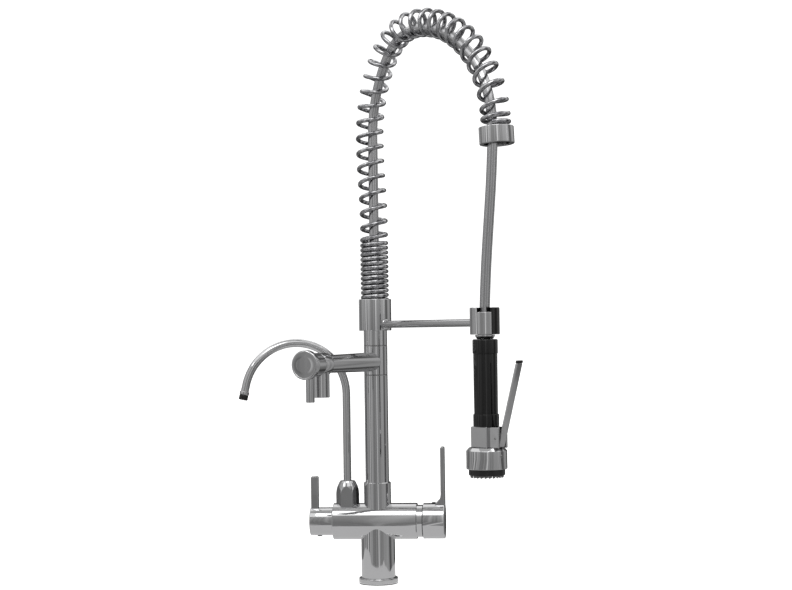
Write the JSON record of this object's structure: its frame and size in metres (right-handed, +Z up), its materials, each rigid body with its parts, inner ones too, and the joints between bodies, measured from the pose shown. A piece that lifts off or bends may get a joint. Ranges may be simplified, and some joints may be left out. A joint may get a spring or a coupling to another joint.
{
  "type": "spring kitchen mixer",
  "caption": "Deck-mounted chrome spring kitchen mixer with side lever, swivel spout with diverter, filtered-water gooseneck and a trigger spray head parked in a holder.",
  "frame": {"origin": "centre of the deck face under the flange", "axes": "+Z up along the column, +X along the cross body to the mixer lever, -Y towards the user"},
  "size_m": [0.3743, 0.2442, 0.7501],
  "materials": {
    "chrome": "polished chrome plate",
    "spring_chrome": "polished chrome-plated spring wire",
    "steel": "plain machined steel",
    "brass": "machined brass",
    "black_gloss": "glossy black moulding",
    "black_matt": "satin dark moulding",
    "rubber": "soft dark grey rubber",
    "ceramic": "ground white ceramic",
    "braided_steel": "fine stainless braid"
  },
  "bodies": {
    "mixer": {"base_flange": "chrome", "flange_seal": "rubber", "inlet_sockets": "brass", "mixer_body": "chrome", "column_sleeve": "chrome", "sleeve_screw": "steel", "lower_column": "chrome", "swivel_core": "brass", "swivel_seals": "rubber", "swivel_glides": "steel", "upper_column": "chrome", "column_nipple": "brass", "mixing_cartridge": "black_matt", "ceramic_disc_fixed": "ceramic", "cartridge_nut": "chrome", "filter_headwork": "brass", "bell_nut": "chrome"},
    "mixer_spindle": {"ceramic_disc_moving": "ceramic", "lever_carrier": "black_matt", "stem_pin": "steel"},
    "mixer_handle": {"lever_stem": "steel", "mixer_cap": "chrome", "mixer_cap_plug": "black_matt", "mixer_lever": "chrome"},
    "filter_handle": {"filter_spindle": "brass", "filter_cap": "chrome", "filter_cap_screw": "steel", "filter_lever": "chrome"},
    "gooseneck": {"gooseneck_tube": "chrome", "gooseneck_seals": "rubber", "filter_nozzle": "black_matt"},
    "spout": {"spout_tube": "chrome", "spout_end_block": "chrome", "aerator_housing": "chrome", "aerator": "black_matt"},
    "diverter": {"diverter_knob": "chrome", "diverter_pin": "chrome", "diverter_spool": "brass"},
    "spring_arm": {"spring_collar": "chrome", "support_spring": "spring_chrome", "end_nut": "chrome", "riser_hose": "braided_steel", "spray_hose": "braided_steel", "arm_rod": "chrome", "holder_shell": "chrome", "holder_liner": "black_gloss"},
    "spray_head": {"hose_ferrule": "chrome", "grip_core_tube": "black_matt", "grip_sleeve": "black_gloss", "grip_top_collar": "black_gloss", "grip_bottom_collar": "black_gloss", "spray_valve_body": "chrome", "lever_pin": "steel", "spray_ring": "chrome", "ring_screw": "steel", "spray_face": "black_matt", "spray_nozzles": "rubber"},
    "spray_lever": {"spray_lever": "chrome"},
    "spray_plunger": {"spray_plunger": "steel"}
  },
  "joints": [
    {"name": "mixer_turn", "type": "hinge", "parent": "mixer", "child": "mixer_spindle", "pos_m": [0.04, 0, 0.082], "axis": [1, 0, 0], "range_deg": [-45, 45]},
    {"name": "mixer_tilt", "type": "hinge", "parent": "mixer_spindle", "child": "mixer_handle", "pos_m": [0.04, 0, 0.082], "axis": [0, 1, 0], "range_deg": [0, 18]},
    {"name": "filter_turn", "type": "hinge", "parent": "mixer", "child": "filter_handle", "pos_m": [-0.075, 0, 0.082], "axis": [1, 0, 0], "range_deg": [0, 90]},
    {"name": "gooseneck_swivel", "type": "hinge", "parent": "mixer", "child": "gooseneck", "pos_m": [-0.04, 0, 0.12], "axis": [0, 0, 1], "range_deg": [-60, 15]},
    {"name": "spout_swivel", "type": "hinge", "parent": "mixer", "child": "spout", "pos_m": [0, 0, 0.294], "axis": [0, 0, 1], "range_deg": [-25, 60]},
    {"name": "diverter_turn", "type": "hinge", "parent": "spout", "child": "diverter", "pos_m": [-0.06447, -0.15188, 0.294], "axis": [-0.3907, -0.9205, 0], "range_deg": [0, 90]},
    {"name": "arm_swivel", "type": "hinge", "parent": "mixer", "child": "spring_arm", "pos_m": [0, 0, 0.345], "axis": [0, 0, 1], "range_deg": [-90, 90]},
    {"name": "spray_pull", "type": "slide", "parent": "spring_arm", "child": "spray_head", "axis": [0, -1, 0], "range_m": [0, 0.08], "deforming": ["spray_hose"]},
    {"name": "lever_press", "type": "hinge", "parent": "spray_head", "child": "spray_lever", "pos_m": [0.16893, -0.19015, 0.203], "axis": [0.6691, 0.7431, 0], "range_deg": [-15, 0], "stiffness_Nm_per_rad": 0.6},
    {"name": "plunger_press", "type": "slide", "parent": "spray_head", "child": "spray_plunger", "axis": [-0.7431, 0.6691, 0], "range_m": [0, 0.0022]}
  ],
  "couplings": [
    {"joint": "plunger_press", "follows": "lever_press", "m_per_rad": -0.008}
  ]
}
